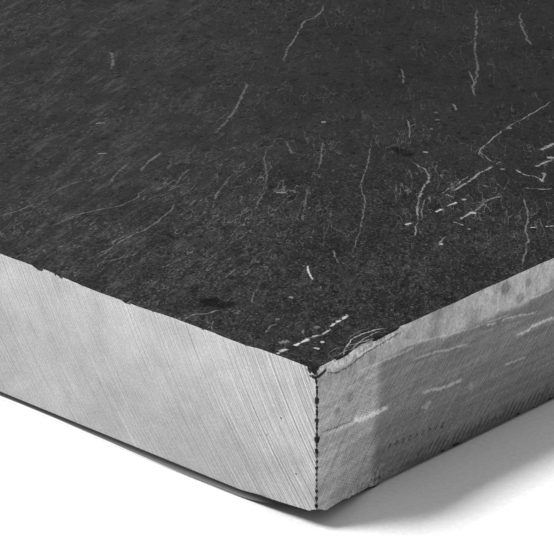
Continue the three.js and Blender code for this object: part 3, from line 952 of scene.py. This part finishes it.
DARK_MARKS_AND_LEDGE_SHADOW = [
    # The first is painted shadow: the dark line under the step where the top lamina by the tip is broken
    # back.
    ([(-148.5, 29.3), (-146.5, 29.1), (-144.5, 28.5), (-141, 28.3), (-137.4, 28.8), (-133.4, 29.1),
      (-129, 29.3), (-124, 30)], 0.2, 0.9),
    ([(-138, 29.5), (-134, 29.9), (-129, 30.1)], 0.15, 0.5),
    ([(-148.9, 18.7), (-144.5, 18.1), (-138.5, 17.3)], 0.28, 0.6),
    ([(-103, 22.9), (-98, 22.3), (-90, 21.3)], 0.3, 0.25),
    ([(-124, 22.7), (-117, 22.2), (-108, 21.2)], 0.3, 0.25),
]
for dash in range(9):  # a row of short dashes, low on the side
    start, level = -127 + 1.85 * dash, 7.5 - 0.13 * dash
    DARK_MARKS_AND_LEDGE_SHADOW.append(([(start, level - 0.6), (start + 0.7, level + 0.4)], 0.45, 0.75))
# The corner's beads are dark inner stone, painted darker as shade; the rest are smudges.
SMUDGES = corner_beads(FRONT) + [
    # By the tip: dark inner stone, and the painted shadow of the crack under the top lamina.
    ((-149.6, 30), 0.45, 1),
    ((-144.2, 20.9), 1.1, 0.4),
    ((-140.3, 22.2), 1.2, 0.35),
    ((-136.8, 24.5), 1.1, 0.3),
    ((-134, 20.7), 0.9, 0.3),
    ((-139, 24.8), 0.7, 0.25),
    ((-96, 29.4), 1.6, 0.5),
    ((-92, 26), 1.5, 0.45),
    ((-89.5, 28.3), 1.0, 0.45),
    ((-99.5, 27.6), 0.8, 0.25),
]
pale = drawn(tree, uneven_place, fray, PALE_STREAKS)
glimmers = fade(tree, cloud(tree, on_side, 0.8, 3, 0.7, (7, 0.35), -0.03), 0.66, 0.74)
pale = calc(tree, "MAXIMUM", pale, times(tree, glimmers, fade(tree, height, 10, 20, 0, 0.4)))
dark = drawn(tree, uneven_place, fray, DARK_MARKS_AND_LEDGE_SHADOW)
dark = calc(tree, "MAXIMUM", dark, dotted(tree, uneven_place, fray, SMUDGES))

# Along the lower arris each tooth of the saw broke out a short dark nick.
TOOTH_SPACING, TOOTH_SLANT = 1.45, -0.75
teeth = calc(tree, "MULTIPLY_ADD", axis(tree, uneven_place, 1), TOOTH_SLANT, axis(tree, uneven_place, 0))
tooth = calc(tree, "SINE", times(tree, teeth, 2 * math.pi / TOOTH_SPACING))
nick_top = fade(tree, cloud(tree, on_side, 0.5, 2, 0.5, (1, 30)), 0.3, 0.7, 2.6, 5.4)
nicks = times(
    tree,
    fade(tree, tooth, -0.6, 0.8),
    fade(tree, calc(tree, "SUBTRACT", height, nick_top), -1.8, 0.8, 1, 0),
    fade(tree, run, -128, -112, 0, 0.65),
)
lower_dark = fade(tree, calc(tree, "MULTIPLY_ADD", grit, 1.5, height), 1.6, 3.6, 0.5, 0)
dark = strongest(tree, [dark, nicks, times(tree, lower_dark, fade(tree, run, -128, -118))])

# Crumbs of dust cling along the lower arris next to the worn corner.
crumb = cloud(tree, position, 0.85, 3, 0.7)
crumbs = times(
    tree,
    fade(tree, crumb, 0.5, 0.6),
    fade(tree, calc(tree, "MULTIPLY_ADD", run, -0.1, height), 16.6, 17.8, 1, 0),
    fade(tree, run, -146, -141),
    fade(tree, run, -131, -125, 1, 0),
)
between = times(
    tree,
    fade(tree, crumb, 0.36, 0.46, 1, 0),
    fade(tree, height, 2.4, 3.6, 1, 0),
    fade(tree, run, -146, -140),
    0.6,
)
dark = calc(tree, "MAXIMUM", dark, between)

ruling = calc(tree, "MULTIPLY_ADD", lines, fade(tree, band, 0, 1, 1.6, 0.4), 1)
albedo = times(tree, base, ruling, fade(tree, grit, 0.3, 0.7, 0.8, 1.2))
albedo = calc(tree, "MULTIPLY_ADD", calc(tree, "MAXIMUM", pale, times(tree, crumbs, 0.5)), 0.4, albedo)
darkened = times(tree, calc(tree, "MINIMUM", dark, 1), 0.85)
albedo = times(tree, albedo, calc(tree, "SUBTRACT", 1, darkened))
from_arris = calc(tree, "SUBTRACT", run, FRONT)
# Painted shadow: a black line along the crack under the top lamina at the worn tip.
TIP_CRACK_SHADOW = ([(-150.8, 29.3), (-149.5, 29.25), (-148.2, 29.4), (-146.6, 29.9)], 0.5, 1)
tip_crack_shadow = drawn(tree, on_side, 1.0, [TIP_CRACK_SHADOW])
beads = calc(tree, "MAXIMUM", dotted(tree, uneven_place, fray, corner_beads(FRONT)), tip_crack_shadow)
albedo = side_with_chips(tree, position, from_arris, height, albedo, beads)
relief_height = calc(tree, "MULTIPLY_ADD", grit, 0.4, lines)
relief = add(tree, "ShaderNodeBump", {"Height": relief_height, "Strength": 0.6, "Distance": 0.07 * MM})
finish_stone(tree, albedo, 0.78, 0.25, relief)

for material in (split_slate, sawn_front, sawn_right):
    mesh.materials.append(material)
